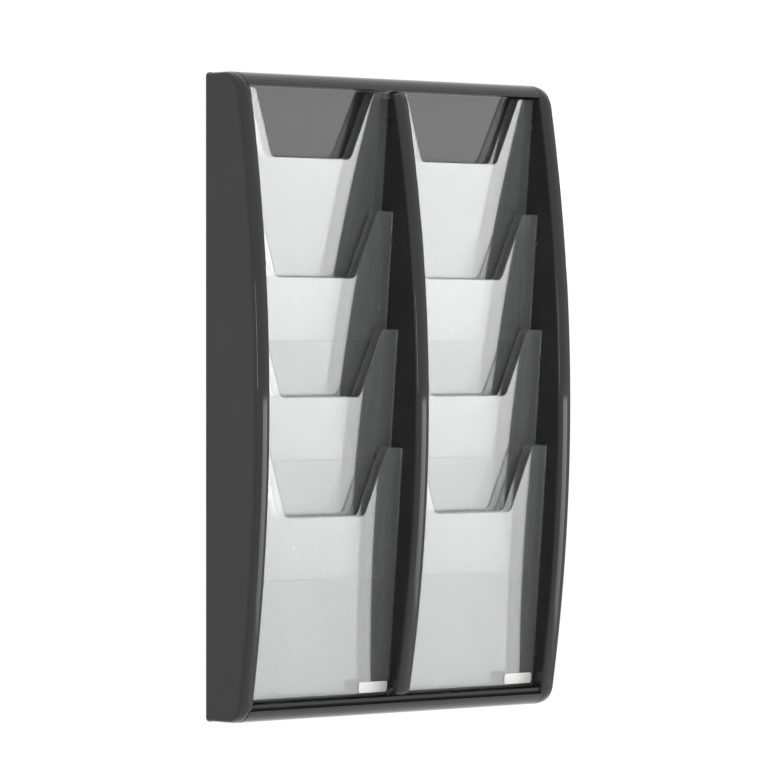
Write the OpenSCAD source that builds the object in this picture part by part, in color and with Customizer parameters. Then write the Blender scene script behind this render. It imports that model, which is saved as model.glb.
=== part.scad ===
// Wall-mounted brochure rack: two columns of four clear trays in a bowed dark frame.
// +X is to the viewer's right, -Y points away from the wall, +Z is up.
// The origin is on the wall plane, at the centre of the four wall screw holes.

/* [Rack] */
// Overall height of the frame
rack_h = 716; // [708:2:724]
// Distance between the centres of the two columns
column_pitch = 232; // [226:1:240]
// Half the overall width where the rack meets the wall
wall_half_w = 243; // [241:0.5:245]
// How much wider each side is at the front than at the wall
side_flare = 4; // [2:0.5:6]
// Distance from the wall to the front of the side rails where they stand out furthest
rail_depth = 87.5; // [84:0.5:90]
// Distance from the wall to the front of the centre divider where it stands out furthest
divider_depth = 95.5; // [92:0.5:98]
// Height above the foot at which the rails stand out furthest
bow_z = 350; // [330:5:370]

/* [Rails] */
// Radius of the bow of the side rails, seen from the side
rail_bow_r = 2000; // [1700:50:2300]
// Radius of the bow of the centre divider, seen from the side
divider_bow_r = 1700; // [1600:50:2000]
// Radius of the frame's top front corner, seen from the side
top_corner_r = 30; // [24:1:36]
// Radius of the frame's bottom front corner, seen from the side
bottom_corner_r = 25; // [20:1:30]
// Radius of the divider's top front corner, seen from the side
divider_corner_r = 12; // [11:0.5:18]
// Width of the cap on the front of the divider
divider_cap_w = 20.6; // [16:0.2:24]
// Thickness of the front caps, from front to back
cap_t = 8; // [6:0.5:10]
// How far the side caps reach over the ends of the trays
cap_reach = 3.8; // [2:0.2:5]
// Thickness of the divider's web
web_t = 4.4; // [4:0.2:5]
// Thickness of the walls of the hollow rails and bars
wall_t = 3; // [2.5:0.1:3.5]

/* [Bars] */
// Height of the top bar
top_bar_h = 15; // [14:0.5:18]
// Height of the bottom bar
bottom_bar_h = 20; // [18:0.5:22]
// Height of the narrower ridge along the top of the bottom bar
ridge_h = 7; // [5:0.5:8]
// How far the ridge is set back
ridge_set_back = 4; // [2:0.5:6]

/* [Back panel] */
// Thickness of the back panel
back_t = 2.5; // [2:0.1:3]
// Radius of the back panel's corners
panel_corner_r = 5; // [2:0.5:6]
// Height above the foot at which the back panel starts to lean forward
ramp_z = 480; // [470:2:500]
// How far the top of the leaning part stands in front of the rest of the panel
ramp_out = 24; // [18:0.5:24]

/* [Trays] */
// Height of a tray, along its leaning front
tray_h = 281; // [272:1:282]
// Depth of a tray, from its front face to the back of its rear sheet
tray_depth = 14; // [12:0.2:14]
// Vertical step from one tray to the next
tray_step = 133; // [131:0.5:133]
// How far the foot of each tray stands in front of the one above it
tray_advance = 7.6; // [7.6:0.1:8.4]
// Forward lean of the tray fronts in degrees
tray_lean = 4.875; // [4.875:0.025:5]
// Thickness of the clear sheet
sheet_t = 2; // [1.6:0.1:2.4]
// Radius of the edge along the foot of a tray
foot_r = 5; // [3:0.5:6]
// Depth of the cut-out in the upper edge of a tray's front
cutout_h = 76; // [60:1:80]
// Width of the cut-out at the tray's upper edge
cutout_top_w = 180; // [170:2:190]
// Width of the cut-out at its lower edge
cutout_low_w = 120; // [104:2:130]
// Radius of the cut-out's lower corners
cutout_r = 9; // [5:1:12]
// Radius of the upper corners beside the cut-out
tab_r = 6; // [3:1:8]

/* [Fixings] */
// Distance between the wall screw holes, from side to side
wall_hole_dx = 232; // [220:2:240]
// Distance between the wall screw holes, from top to bottom
wall_hole_dz = 266; // [258:2:274]
// Height of the middle of the wall screw holes above the foot
wall_hole_z = 322; // [312:1:332]
// Radius of a wall screw hole
wall_hole_r = 2.75; // [2.25:0.25:3.25]
// Radius of the pegs that hold the trays
peg_r = 2.2; // [1.8:0.1:2.2]
// How far a peg stands out of its wall
peg_reach = 3; // [2.5:0.5:4]

/* [Labels] */
// Width of the blank label on a lowest tray
label_w = 44; // [30:1:46]
// Height of the blank label
label_h = 12; // [8:1:14]

/* [Hidden] */

arc_steps = 28;
corner_steps = 9;
round_fn = 48;
fit = 0.1;
far = 1000;

column_x = column_pitch / 2;
inner_x = column_pitch - web_t / 2;
tray_w = column_pitch - web_t - 0.6;
top_z = rack_h - top_bar_h;
tray_foot_y = -17.1;
tray_foot_z = bottom_bar_h - foot_r * (sin(tray_lean) + cos(tray_lean) - 1);
peg_gap = 0.3;
peg_heights = [40, 249];
rest_peg_y = foot_r + peg_r;

screw_r = 1.6;
screw_l = 16;
head_r = 3.2;
head_h = 1.6;
boss_h = 12;
rail_screw_x = (inner_x + wall_half_w) / 2;
rail_screw_z = [32, 190, 350, 510, 684];
bar_screw_x = [-column_x, 0, column_x];
top_screw_z = rack_h - top_bar_h / 2;
bottom_screw_z = (bottom_bar_h - ridge_h) / 2;
divider_screw_z = [60, 190, 350];
divider_boss_w = 9;
divider_boss_l = 11;
bar_end_t = 14;
bar_screw_y = -16;

label_t = 0.3;
label_r = 3;

frame_black = "#232326";
panel_grey = "#38383c";
peg_grey = "#5a5a5e";
screw_grey = "#a8a8ac";
clear_tint = [0.88, 0.91, 0.93, 0.35];
label_white = "#ececea";

function unit(v) = v / norm(v);

// Points along an arc about a centre
function arc(c, r, from, to, n) =
    [for (i = [0:n]) let (a = from + (to - from) * i / n) c + r * [cos(a), sin(a)]];

// The same list without its first and last points
function inner(list) = [for (i = [1:len(list) - 2]) list[i]];

// A corner at p between a and b, rounded to radius r
function rounded_corner(a, p, b, r) =
    let (u = unit(a - p),
         v = unit(b - p),
         half = acos(u * v) / 2,
         c = p + unit(u + v) * r / sin(half),
         s = p + u * r / tan(half) - c,
         e = p + v * r / tan(half) - c)
    [for (i = [0:corner_steps]) c + r * unit(s * (corner_steps - i) + e * i)];

// A closed outline of [x, y, radius] points with its corners rounded
function rounded(points) =
    [for (i = [0:len(points) - 1])
        let (n = len(points),
             a = points[(i + n - 1) % n],
             p = points[i],
             b = points[(i + 1) % n])
        each (p[2] > 0
            ? rounded_corner([a[0], a[1]], [p[0], p[1]], [b[0], b[1]], p[2])
            : [[p[0], p[1]]])];

// Side view of a bowed shape as [y, z] points: a long arc with a round corner at each end
function bowed(depth, r, low_z, high_z, low_r, high_r, inset, back) =
    let (cy = r - depth,
         zl = low_z + low_r,
         zh = high_z - high_r,
         al = asin((bow_z - zl) / (r - low_r)),
         ah = asin((zh - bow_z) / (r - high_r)),
         yl = cy - (r - low_r) * cos(al),
         yh = cy - (r - high_r) * cos(ah))
    concat([[back, low_z + inset]],
           arc([yl, zl], low_r - inset, 270, 180 + al, corner_steps),
           inner(arc([cy, bow_z], r - inset, 180 + al, 180 - ah, arc_steps)),
           arc([yh, zh], high_r - inset, 180 - ah, 90, corner_steps),
           [[back, high_z - inset]]);

function rail_outline(inset, back) =
    bowed(rail_depth, rail_bow_r, 0, rack_h, bottom_corner_r, top_corner_r, inset, back);

function divider_outline(inset, back) =
    bowed(divider_depth, divider_bow_r, bottom_bar_h + fit, top_z - fit, 12, divider_corner_r, inset, back);

// Places of the screws in the back panel as [x, z], measured from the foot
function panel_screw_places() = concat(
    [for (x = [-rail_screw_x, rail_screw_x], z = rail_screw_z) [x, z]],
    [for (x = bar_screw_x, z = [bottom_screw_z, top_screw_z]) [x, z]],
    [for (z = divider_screw_z) [0, z]]);

// Everything is drawn up from the foot, then moved so that the origin is amid the wall holes
module from_foot() {
    translate([0, 0, -wall_hole_z]) children();
}

module on_side(s) {
    mirror([s < 0 ? 1 : 0, 0, 0]) children();
}

// A plate from x0 to x1 with a side view given as [y, z] points
module plate(x0, x1, outline) {
    translate([x0, 0, 0])
        rotate([90, 0, 90])
            linear_extrude(x1 - x0)
                polygon(outline);
}

module box(a, b) {
    translate(a) cube(b - a);
}

module rod_x(x0, x1, y, z, r) {
    translate([x0, y, z]) rotate([0, 90, 0]) cylinder(r = r, h = x1 - x0, $fn = round_fn);
}

module rod_y(y0, y1, x, z, r) {
    translate([x, y1, z]) rotate([90, 0, 0]) cylinder(r = r, h = y1 - y0, $fn = round_fn);
}

// A tray's own frame: the origin is at the foot of its front face and its height leans forward
module tray_frame(n) {
    translate([0, tray_foot_y - tray_advance * (n - 1), tray_foot_z + tray_step * (4 - n)])
        rotate([tray_lean, 0, 0])
            children();
}

// Pegs from x0 to x1: two in front of every tray and one under each of the upper three
module peg_set(x0, x1, r) {
    for (n = [1:4])
        tray_frame(n) {
            for (z = peg_heights)
                rod_x(x0, x1, -r - peg_gap, z, r);
            if (n < 4)
                rod_x(x0, x1, rest_peg_y, -r, r);
        }
}

// Everything inside the flared outer face of the right-hand side, less a margin
module flared_side(margin) {
    linear_extrude(rack_h)
        polygon([[0, far], [wall_half_w - margin - side_flare * far / rail_depth, far],
                 [wall_half_w - margin + side_flare * far / rail_depth, -far], [0, -far]]);
}

module rail_bosses() {
    for (z = rail_screw_z)
        box([inner_x + 1, -back_t - fit - screw_l, z - boss_h / 2], [far, -back_t - fit, z + boss_h / 2]);
    box([inner_x + 1, -20, top_z - 2], [inner_x + wall_t, -8, rack_h - wall_t]);
}

module right_rail_shape() {
    difference() {
        intersection() {
            plate(inner_x - cap_reach, far, rail_outline(0, -back_t));
            flared_side(0);
        }
        plate(0, inner_x, rail_outline(cap_t, 1));
        box([0, -far, top_z - fit], [inner_x, 1, rack_h + 1]);
        box([0, -far, -1], [inner_x, 1, bottom_bar_h + fit]);
        difference() {
            intersection() {
                plate(inner_x + wall_t, far, rail_outline(wall_t, 1));
                flared_side(wall_t);
            }
            rail_bosses();
        }
        for (z = rail_screw_z)
            rod_y(-screw_l, 1, rail_screw_x, z, screw_r);
        for (z = [bottom_screw_z, top_screw_z])
            rod_x(inner_x - 1, inner_x + wall_t + 1, bar_screw_y, z, screw_r);
        peg_set(inner_x - 1, inner_x + wall_t + 1, peg_r);
    }
}

module left_rail() {
    color(frame_black) from_foot() mirror([1, 0, 0]) right_rail_shape();
}

module right_rail() {
    color(frame_black) from_foot() right_rail_shape();
}

// Front face line of the back panel as [y, z] points, moved forward by a margin
function panel_front(margin) =
    [[-back_t - margin, 0], [-back_t - margin, ramp_z], [-back_t - ramp_out - margin, top_z]];

// The room that a tray needs, with a little to spare
module tray_space() {
    box([-tray_w / 2 - fit, -fit, -0.5], [tray_w / 2 + fit, tray_depth + fit, tray_h + 0.5]);
}

module centre_divider() {
    color(frame_black) from_foot() difference() {
        union() {
            difference() {
                plate(-divider_cap_w / 2, divider_cap_w / 2, divider_outline(0, 0));
                plate(-divider_cap_w, divider_cap_w, divider_outline(cap_t, 1));
            }
            plate(-web_t / 2, web_t / 2, divider_outline(1, 0));
            for (z = divider_screw_z)
                box([-divider_boss_w / 2, -back_t - fit - divider_boss_l, z - boss_h / 2],
                    [divider_boss_w / 2, -back_t - fit, z + boss_h / 2]);
        }
        plate(-far, far, concat(panel_front(fit), [[5, top_z], [5, 0]]));
        box([-far, -back_t - ramp_out - fit, top_z - 1], [far, 5, rack_h]);
        for (s = [-1, 1], n = [1:4])
            translate([s * column_x, 0, 0])
                tray_frame(n) tray_space();
        for (z = divider_screw_z)
            rod_y(-screw_l, 1, 0, z, screw_r);
        peg_set(-far, far, peg_r);
    }
}

// Solid parts left inside a hollow bar: its ends and the places where the panel screws bite
module bar_solids() {
    box([-inner_x, -far, -1], [-inner_x + bar_end_t, 1, rack_h + 1]);
    box([inner_x - bar_end_t, -far, -1], [inner_x, 1, rack_h + 1]);
    for (x = bar_screw_x)
        box([x - 6, -far, -1], [x + 6, 1, rack_h + 1]);
}

module bar_screw_bores(z) {
    for (x = bar_screw_x)
        rod_y(-screw_l, 1, x, z, screw_r);
    for (s = [-1, 1])
        on_side(s) rod_x(inner_x - 10, inner_x + 1, bar_screw_y, z, screw_r);
}

module top_bar() {
    color(frame_black) from_foot() difference() {
        intersection() {
            plate(-inner_x + fit, inner_x - fit, rail_outline(0, -back_t - fit));
            box([-far, -far, top_z], [far, 0, rack_h]);
        }
        difference() {
            intersection() {
                plate(-inner_x + 1, inner_x - 1, rail_outline(wall_t, 1));
                box([-far, -far, top_z + wall_t], [far, 1, rack_h]);
            }
            bar_solids();
        }
        bar_screw_bores(top_screw_z);
    }
}

module bottom_bar() {
    color(frame_black) from_foot() difference() {
        union() {
            intersection() {
                plate(-inner_x + fit, inner_x - fit, rail_outline(0, -back_t - fit));
                box([-far, -far, 0], [far, 0, bottom_bar_h - ridge_h]);
            }
            intersection() {
                plate(-inner_x + fit, inner_x - fit, rail_outline(ridge_set_back, -back_t - fit));
                box([-far, -far, wall_t], [far, 0, bottom_bar_h]);
            }
        }
        difference() {
            intersection() {
                plate(-inner_x + 1, inner_x - 1, rail_outline(wall_t + ridge_set_back, 1));
                box([-far, -far, wall_t], [far, 1, bottom_bar_h - wall_t]);
            }
            bar_solids();
        }
        bar_screw_bores(bottom_screw_z);
    }
}

module panel_screw(x, z, margin) {
    rod_y(-screw_l, -0.1, x, z, screw_r + margin);
    translate([x, 0, z]) rotate([90, 0, 0])
        cylinder(r1 = head_r + margin, r2 = screw_r + margin, h = head_h, $fn = round_fn);
}

module back_panel() {
    color(panel_grey) from_foot() difference() {
        union() {
            difference() {
                rotate([90, 0, 0])
                    linear_extrude(back_t)
                        polygon(rounded([[-wall_half_w, 0, panel_corner_r], [wall_half_w, 0, panel_corner_r],
                                         [wall_half_w, rack_h, panel_corner_r],
                                         [-wall_half_w, rack_h, panel_corner_r]]));
                box([-inner_x + fit, -far, ramp_z], [inner_x - fit, 1, top_z]);
            }
            plate(-inner_x + fit, inner_x - fit,
                  [[-back_t, ramp_z], [-back_t - ramp_out, top_z - fit], [-ramp_out, top_z - fit], [0, ramp_z]]);
        }
        for (p = panel_screw_places())
            panel_screw(p[0], p[1], 0);
        for (x = [-1, 1], z = [-1, 1])
            rod_y(-back_t - 1, 1, x * wall_hole_dx / 2, wall_hole_z + z * wall_hole_dz / 2, wall_hole_r);
    }
}

// Front view of a tray's sheets with their cut-out and rounded tabs
module front_outline() {
    slope = (cutout_top_w - cutout_low_w) / 2 / cutout_h;
    low = tray_h - cutout_h;
    polygon(rounded([[-tray_w / 2, 0, 0],
                     [tray_w / 2, 0, 0],
                     [tray_w / 2, tray_h, 1],
                     [cutout_top_w / 2, tray_h, tab_r],
                     [cutout_low_w / 2, low, cutout_r],
                     [-cutout_low_w / 2, low, cutout_r],
                     [-cutout_top_w / 2, tray_h, tab_r],
                     [-tray_w / 2, tray_h, 1]]));
}

module tray_shape() {
    difference() {
        plate(-tray_w / 2, tray_w / 2,
              rounded([[0, 0, foot_r], [tray_depth, 0, 0], [tray_depth, tray_h, 0], [0, tray_h, 0]]));
        plate(-tray_w / 2 + sheet_t, tray_w / 2 - sheet_t,
              rounded([[sheet_t, sheet_t, foot_r - sheet_t], [tray_depth - sheet_t, sheet_t, 0],
                       [tray_depth - sheet_t, tray_h + 1, 0], [sheet_t, tray_h + 1, 0]]));
        for (y = [sheet_t, tray_depth + 1])
            translate([0, y, 0])
                rotate([90, 0, 0])
                    linear_extrude(sheet_t + 1)
                        difference() {
                            translate([-tray_w / 2 - 1, tray_h - cutout_h - 1]) square([tray_w + 2, cutout_h + 2]);
                            front_outline();
                        }
    }
}

module tray(s, n) {
    color(clear_tint) from_foot() translate([s * column_x, 0, 0]) tray_frame(n) tray_shape();
}

module side_pegs(s) {
    color(peg_grey) from_foot() on_side(s) peg_set(inner_x - peg_reach, inner_x + wall_t, peg_r);
}

module centre_pegs() {
    color(peg_grey) from_foot() peg_set(-web_t / 2 - peg_reach, web_t / 2 + peg_reach, peg_r);
}

module panel_screws() {
    color(screw_grey) from_foot()
        for (p = panel_screw_places())
            panel_screw(p[0], p[1], 0);
}

module bar_screws() {
    color(screw_grey) from_foot()
        for (s = [-1, 1], z = [bottom_screw_z, top_screw_z])
            on_side(s) {
                rod_x(inner_x - 10, inner_x + wall_t, bar_screw_y, z, screw_r);
                rod_x(inner_x + wall_t, inner_x + wall_t + 2, bar_screw_y, z, head_r);
            }
}

// Blank label near the lower right corner of a lowest tray
module label(s) {
    color(label_white) from_foot() translate([s * column_x, 0, 0]) tray_frame(4)
        translate([tray_w / 2 - label_w - 3, 0, foot_r + 0.5])
            rotate([90, 0, 0])
                linear_extrude(label_t)
                    polygon(rounded([[0, 0, label_r], [label_w, 0, label_r],
                                     [label_w, label_h, label_r], [0, label_h, label_r]]));
}

left_rail();
right_rail();
centre_divider();
top_bar();
bottom_bar();
back_panel();
tray(-1, 1);  // tray_left_1
tray(-1, 2);  // tray_left_2
tray(-1, 3);  // tray_left_3
tray(-1, 4);  // tray_left_4
tray(1, 1);  // tray_right_1
tray(1, 2);  // tray_right_2
tray(1, 3);  // tray_right_3
tray(1, 4);  // tray_right_4
side_pegs(-1);  // pegs_left
centre_pegs();  // pegs_centre
side_pegs(1);  // pegs_right
panel_screws();
bar_screws();
label(-1);  // label_left
label(1);  // label_right
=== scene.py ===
"""Brochure rack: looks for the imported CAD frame. Metres; the origin is on the wall, amid the wall screw holes."""
import math

import bmesh
import bpy
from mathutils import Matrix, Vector


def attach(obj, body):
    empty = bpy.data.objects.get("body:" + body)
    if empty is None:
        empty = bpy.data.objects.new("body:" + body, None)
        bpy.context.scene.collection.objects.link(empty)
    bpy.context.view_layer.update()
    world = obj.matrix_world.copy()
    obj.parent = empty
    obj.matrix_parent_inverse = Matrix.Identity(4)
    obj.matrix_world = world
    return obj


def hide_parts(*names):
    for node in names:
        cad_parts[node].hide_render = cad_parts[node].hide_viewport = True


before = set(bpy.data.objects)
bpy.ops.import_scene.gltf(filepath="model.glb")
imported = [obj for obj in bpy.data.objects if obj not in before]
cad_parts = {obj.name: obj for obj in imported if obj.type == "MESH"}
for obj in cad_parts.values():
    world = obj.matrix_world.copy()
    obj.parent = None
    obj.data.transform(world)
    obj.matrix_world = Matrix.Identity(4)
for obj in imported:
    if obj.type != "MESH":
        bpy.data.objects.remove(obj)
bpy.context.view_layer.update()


# ---------------------------------------------------------------- materials
def new_material(name, **sockets):
    mat = bpy.data.materials.new(name)
    mat.use_nodes = True
    bsdf = mat.node_tree.nodes["Principled BSDF"]
    for key, value in sockets.items():
        bsdf.inputs[key.replace("_", " ")].default_value = value
    return mat, mat.node_tree, bsdf


def noise(tree, scale, detail):
    """Soft noise that sits still on the piece."""
    coord = tree.nodes.new("ShaderNodeTexCoord")
    node = tree.nodes.new("ShaderNodeTexNoise")
    node.inputs["Scale"].default_value = scale
    node.inputs["Detail"].default_value = detail
    node.inputs["Roughness"].default_value = 0.55
    tree.links.new(coord.outputs["Object"], node.inputs["Vector"])
    return node.outputs["Fac"]


def drift(tree, socket, scale, detail, start, end, low, high):
    """Lets noise drive a colour socket from low to high, as the noise goes from start to end."""
    node = tree.nodes.new("ShaderNodeValToRGB")
    first, last = node.color_ramp.elements
    first.position, last.position = start, end
    first.color, last.color = (*low, 1), (*high, 1)
    tree.links.new(noise(tree, scale, detail), node.inputs["Fac"])
    tree.links.new(node.outputs["Color"], socket)


def grain(tree, bsdf, scale, detail, distance, strength):
    """A fine bump over the whole piece."""
    node = tree.nodes.new("ShaderNodeBump")
    node.inputs["Distance"].default_value = distance
    node.inputs["Strength"].default_value = strength
    tree.links.new(noise(tree, scale, detail), node.inputs["Height"])
    tree.links.new(node.outputs["Normal"], bsdf.inputs["Normal"])


def grey(v):
    return (v, v, v)


def drifting_material(name, colour, roughness, bump=None, **sockets):
    """A material whose colour and roughness vary a little. colour and roughness are what drift takes after the
    socket, and bump is what grain takes after the shader."""
    mat, tree, bsdf = new_material(name, **sockets)
    drift(tree, bsdf.inputs["Base Color"], *colour)
    drift(tree, bsdf.inputs["Roughness"], *roughness)
    if bump:
        grain(tree, bsdf, *bump)
    return mat


# moulded black plastic with a shallow orange-peel
BLACK = drifting_material("gloss_black", (9.0, 4.0, 0.35, 0.7, (0.0185, 0.0185, 0.0189), (0.0225, 0.0225, 0.0230)),
                          (40.0, 6.0, 0.3, 0.75, grey(0.03), grey(0.06)), (420.0, 2.0, 0.00004, 0.25), IOR=1.36)
# dark sheet with a fine grain
PANEL = drifting_material("matt_panel", (14.0, 4.0, 0.3, 0.75, (0.022, 0.022, 0.0225), (0.026, 0.026, 0.0265)),
                          (60.0, 6.0, 0.3, 0.75, grey(0.11), grey(0.16)), (1400.0, 3.0, 0.00002, 0.1), IOR=1.4)
# clear moulded sheet with a very slight haze
CLEAR = drifting_material("clear_sheet", (6.0, 4.0, 0.3, 0.75, (0.83, 0.835, 0.835), (0.85, 0.855, 0.855)),
                          (25.0, 5.0, 0.35, 0.75, grey(0.0), grey(0.02)), IOR=1.53, Transmission_Weight=0.93)
PEG = drifting_material("satin_peg", (300.0, 4.0, 0.3, 0.7, grey(0.03), grey(0.05)),
                        (500.0, 4.0, 0.3, 0.7, grey(0.3), grey(0.45)), IOR=1.5)
ZINC = drifting_material("zinc_screw", (700.0, 4.0, 0.3, 0.7, (0.5, 0.5, 0.52), (0.64, 0.64, 0.66)),
                         (900.0, 4.0, 0.3, 0.7, grey(0.22), grey(0.4)), Metallic=1.0)
LABEL = drifting_material("label_film", (60.0, 4.0, 0.3, 0.7, (0.8, 0.8, 0.79), (0.86, 0.86, 0.85)),
                          (160.0, 4.0, 0.3, 0.7, grey(0.3), grey(0.42)), IOR=1.45)

# ---------------------------------------------------------------- sizes in millimetres; heights are above the foot
MM = 0.001
BASE_Z = -0.322          # the foot, in metres from the origin
BOW_Z = 350              # where the rails and the divider stand out furthest
CAP_T = 8.0              # thickness of a cap, from front to back
CAP_EDGE = 0.5           # chamfer along the back of a cap's free edge
CAP_RISE = 0.9           # how far a cap's front is crowned
RAIL_DEPTH = 87.5
WALL_HALF = 243.0        # outer side of a rail where it meets the wall
INNER_X = 229.8          # inner wall of a rail
REACH_X = 226.0          # free edge of a rail's cap, over the ends of the trays
FLARE = 4.0              # how much wider a rail is at its front than at the wall
CAP_HALF = 10.3          # half the width of the divider's cap
WEB_HALF = 2.2           # half the thickness of the divider's web
DIVIDER_LOW, DIVIDER_HIGH = 20.1, 700.9
PANEL_Y = -2.7           # just in front of the back panel
PANEL_LEAN_Y = -26.7     # the same at the top of the panel's leaning part
PANEL_LEAN_Z = 480       # where the panel starts to lean forward
CORNER_STEPS, BOW_STEPS = 14, 60
SHARP_DEGREES = 38


# ---------------------------------------------------------------- shared shapes
def arc(cy, cz, r, a0, a1, n):
    return [(cy + r * math.cos(math.radians(a0 + (a1 - a0) * i / n)),
             cz + r * math.sin(math.radians(a0 + (a1 - a0) * i / n))) for i in range(n + 1)]


def bowed(depth, bow_r, low_z, high_z, low_r, high_r, inset):
    """Side view of a bowed front as (y, z), from the foot over the front to the top."""
    cy = bow_r - depth
    zl, zh = low_z + low_r, high_z - high_r
    al = math.degrees(math.asin((BOW_Z - zl) / (bow_r - low_r)))
    ah = math.degrees(math.asin((zh - BOW_Z) / (bow_r - high_r)))
    yl = cy - (bow_r - low_r) * math.cos(math.radians(al))
    yh = cy - (bow_r - high_r) * math.cos(math.radians(ah))
    points = arc(yl, zl, low_r - inset, 270, 180 + al, CORNER_STEPS)
    points += arc(cy, BOW_Z, bow_r - inset, 180 + al, 180 - ah, BOW_STEPS)[1:-1]
    points += arc(yh, zh, high_r - inset, 180 - ah, 90, CORNER_STEPS)
    return points


def cap_section(x0, x1, r0, r1, n=6):
    """Front of a cap as (x, inset): a fillet of radius r0 at x0, a crowned front, a fillet of radius r1 at x1."""
    points = []
    for i in range(n + 1):
        a = math.radians(90 * i / n)
        points.append((x0 + r0 * (1 - math.cos(a)), CAP_RISE + r0 * (1 - math.sin(a))))
    start, end = x0 + r0, x1 - r1
    for i in range(1, n):
        t = i / n
        points.append((start + (end - start) * t, CAP_RISE * (2 * t - 1) ** 2))
    for i in range(n + 1):
        a = math.radians(90 * (1 - i / n))
        points.append((x1 - r1 * (1 - math.cos(a)), CAP_RISE + r1 * (1 - math.sin(a))))
    return points


def row_of_verts(bm, outline, x_at):
    """One vertex for each (y, z) of outline, in metres from the origin."""
    return [bm.verts.new((x_at(y) * MM, y * MM, z * MM + BASE_Z)) for y, z in outline]


def sweep(bm, profile, outline_at, x_at):
    """Sweeps profile, a list of (x, inset), along the outlines that outline_at(inset) gives."""
    rows = [row_of_verts(bm, outline_at(inset), lambda y, x=x: x_at(x, y)) for x, inset in profile]
    for a, b in zip(rows, rows[1:]):
        for i in range(len(a) - 1):
            bm.faces.new((a[i], a[i + 1], b[i + 1], b[i]))
    return rows


def finish_piece(name, bm, material, nodes):
    bmesh.ops.triangulate(bm, faces=[f for f in bm.faces if len(f.verts) > 4])
    bmesh.ops.recalc_face_normals(bm, faces=bm.faces)
    mesh = bpy.data.meshes.new(name)
    bm.to_mesh(mesh)
    bm.free()
    obj = bpy.data.objects.new(name, mesh)
    bpy.context.collection.objects.link(obj)
    mesh.materials.append(material)
    for poly in mesh.polygons:
        poly.use_smooth = True
    mesh.set_sharp_from_angle(angle=math.radians(SHARP_DEGREES))
    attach(obj, "root")
    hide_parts(*nodes)


# ---------------------------------------------------------------- frame
def flared(x, y):
    """Moves the outer part of a rail section out towards the front, as the real side does."""
    share = max(0.0, min(1.0, (x - INNER_X) / (WALL_HALF - INNER_X)))
    return x + FLARE * share * (-y) / RAIL_DEPTH


def rail_outline(inset):
    """A rail's side view, closed at the back."""
    low_z, high_z, back = 0, 716, -2.5
    front = bowed(RAIL_DEPTH, 2000, low_z, high_z, 25, 30, inset)
    return [(back, low_z + inset)] + front + [(back, high_z - inset)]


def rail(side):
    profile = [(INNER_X, CAP_T), (REACH_X + CAP_EDGE, CAP_T), (REACH_X, CAP_T - CAP_EDGE)]
    profile += cap_section(REACH_X, WALL_HALF, 3.0, 3.2) + [(WALL_HALF, CAP_T + CAP_EDGE)]
    name = "rail_left" if side < 0 else "rail_right"
    node = "left_rail" if side < 0 else "right_rail"
    bm = bmesh.new()
    rows = sweep(bm, profile, rail_outline, lambda x, y: side * flared(x, y))
    bm.faces.new(rows[0])
    bm.faces.new(list(reversed(rows[-1])))
    bm.faces.new([row[0] for row in rows] + [row[-1] for row in reversed(rows)])
    finish_piece(name, bm, BLACK, [node])


def divider_outline(inset):
    return bowed(95.5, 1700, DIVIDER_LOW, DIVIDER_HIGH, 12, 12, inset)


def divider():
    edge_x = CAP_HALF - CAP_EDGE
    profile = [(-WEB_HALF, CAP_T), (-edge_x, CAP_T), (-CAP_HALF, CAP_T - CAP_EDGE)]
    profile += cap_section(-CAP_HALF, CAP_HALF, 3.4, 3.4)
    profile += [(CAP_HALF, CAP_T - CAP_EDGE), (edge_x, CAP_T), (WEB_HALF, CAP_T)]
    bm = bmesh.new()
    rows = sweep(bm, profile, divider_outline, lambda x, y: x)
    bm.faces.new([row[0] for row in rows])
    bm.faces.new([row[-1] for row in reversed(rows)])
    web = divider_outline(CAP_T) + [(PANEL_LEAN_Y, DIVIDER_HIGH - CAP_T), (PANEL_Y, PANEL_LEAN_Z),
                                    (PANEL_Y, DIVIDER_LOW + CAP_T)]
    left, right = (row_of_verts(bm, web, lambda y, x=x: x) for x in (-WEB_HALF, WEB_HALF))
    bm.faces.new(left)
    bm.faces.new(list(reversed(right)))
    n = len(web)
    for i in range(n):
        j = (i + 1) % n
        bm.faces.new((left[i], left[j], right[j], right[i]))
    finish_piece("divider", bm, BLACK, ["centre_divider"])


for side in (-1, 1):
    rail(side)
divider()


# ---------------------------------------------------------------- carried-over CAD pieces
def dress(node, material, bevel_width=0, segments=3):
    """Gives a CAD node its material, and eases its sharp edges by bevel_width metres."""
    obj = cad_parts[node]
    obj.data.materials.clear()
    obj.data.materials.append(material)
    if bevel_width:
        bevel = obj.modifiers.new("edge", "BEVEL")
        bevel.width = bevel_width
        bevel.segments = segments
        bevel.limit_method = "ANGLE"
        bevel.angle_limit = math.radians(30)
        bevel.harden_normals = True


dress("top_bar", BLACK, 0.0012)
dress("bottom_bar", BLACK, 0.0012)
dress("back_panel", PANEL, 0.0004, 2)
for column in ("left", "right"):
    for n in range(1, 5):
        dress(f"tray_{column}_{n}", CLEAR, 0.0007)
    dress(f"label_{column}", LABEL)
for node in ("pegs_left", "pegs_centre", "pegs_right"):
    dress(node, PEG, 0.0003, 2)
for node in ("panel_screws", "bar_screws"):
    dress(node, ZINC)


# ---------------------------------------------------------------- floor, light and camera
def flat_panel(name, half_x, half_y, material):
    """A flat rectangle for the stage."""
    mesh = bpy.data.meshes.new(name)
    corners = [(-half_x, -half_y, 0), (half_x, -half_y, 0), (half_x, half_y, 0), (-half_x, half_y, 0)]
    mesh.from_pydata(corners, [], [(0, 1, 2, 3)])
    mesh.materials.append(material)
    obj = bpy.data.objects.new(name, mesh)
    bpy.context.collection.objects.link(obj)
    return obj


def floor_paint():
    mat, _, bsdf = new_material("floor_pale", Roughness=0.9)
    bsdf.inputs["Base Color"].default_value = (0.97, 0.97, 0.97, 1)
    bsdf.inputs["Specular IOR Level"].default_value = 0.0
    return mat


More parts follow.
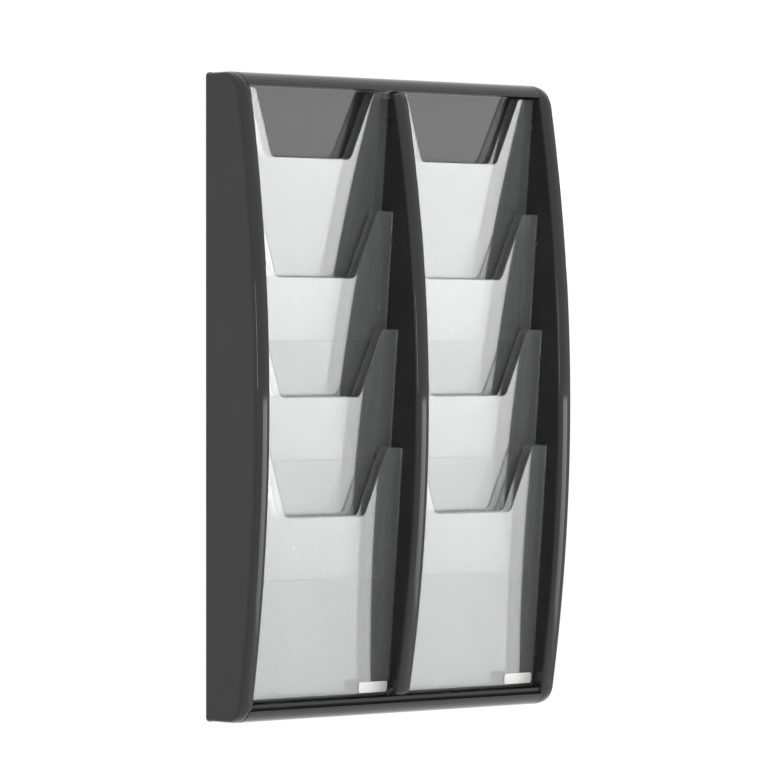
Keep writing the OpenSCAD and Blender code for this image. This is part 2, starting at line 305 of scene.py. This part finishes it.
floor = flat_panel("floor", 40, 40, floor_paint())
floor.location = (0, 0, -1.8)

world = bpy.data.worlds.new("studio")
bpy.context.scene.world = world
world.use_nodes = True
world.node_tree.nodes["Background"].inputs["Color"].default_value = (1, 1, 1, 1)
world.node_tree.nodes["Background"].inputs["Strength"].default_value = 1.06


def fading_glow(low, high):
    """Light whose strength goes from low at the foot of its panel to high at the top."""
    mat = bpy.data.materials.new("bright_panel")
    mat.use_nodes = True
    tree = mat.node_tree
    tree.nodes.clear()
    coord = tree.nodes.new("ShaderNodeTexCoord")
    split = tree.nodes.new("ShaderNodeSeparateXYZ")
    fade = tree.nodes.new("ShaderNodeMapRange")
    fade.inputs["To Min"].default_value = low
    fade.inputs["To Max"].default_value = high
    emission = tree.nodes.new("ShaderNodeEmission")
    out = tree.nodes.new("ShaderNodeOutputMaterial")
    tree.links.new(coord.outputs["Generated"], split.inputs["Vector"])
    tree.links.new(split.outputs["Y"], fade.inputs["Value"])
    tree.links.new(fade.outputs["Result"], emission.inputs["Strength"])
    tree.links.new(emission.outputs["Emission"], out.inputs["Surface"])
    return mat


def glowing_panel(toward, distance, centre, width, height, low, high):
    """A tall soft panel, unseen by the camera; the leaning trays mirror it."""
    obj = flat_panel("bright_panel", width / 2, height / 2, fading_glow(low, high))
    direction = Vector(toward).normalized()
    obj.location = Vector(centre) + direction * distance
    obj.rotation_euler = direction.to_track_quat("-Z", "Y").to_euler()
    obj.visible_camera = False


def softbox(name, toward, distance, width, height, radiance):
    """A flat area light in the direction toward, facing the origin."""
    light = bpy.data.lights.new(name, "AREA")
    light.shape = "RECTANGLE"
    light.size = width
    light.size_y = height
    light.energy = radiance * math.pi * width * height
    obj = bpy.data.objects.new(name, light)
    direction = Vector(toward).normalized()
    obj.location = direction * distance
    obj.rotation_euler = direction.to_track_quat("Z", "Y").to_euler()
    bpy.context.collection.objects.link(obj)


glowing_panel((0.695, -0.708, -0.135), 6.0, (0, 0, 0.036), 3.0, 1.56, 3.3, 5.6)
# two strips that edge the caps
softbox("right_strip", (0.97, 0.243, 0.26), 3.0, 0.5, 0.95, 22)
softbox("front_strip", (-0.25, -0.968, 0.10), 3.2, 0.16, 0.5, 34)

CAMERA_AT = (-4.2393, -4.4222, 0.0878)
CAMERA_LENS = 252.84
LOOK_X, LOOK_Y = 0.69466, 0.71934              # level direction of the view
LOOK_DOWN = math.radians(0.3708)

camera_data = bpy.data.cameras.new("camera")
camera_data.lens = CAMERA_LENS
camera_data.sensor_width = 36
camera_data.clip_end = 100
camera = bpy.data.objects.new("camera", camera_data)
look = Vector((LOOK_X * math.cos(LOOK_DOWN), LOOK_Y * math.cos(LOOK_DOWN), -math.sin(LOOK_DOWN)))
camera.location = CAMERA_AT
camera.rotation_euler = look.to_track_quat("-Z", "Y").to_euler()
bpy.context.collection.objects.link(camera)
bpy.context.scene.camera = camera
bpy.context.scene.view_settings.view_transform = "Standard"
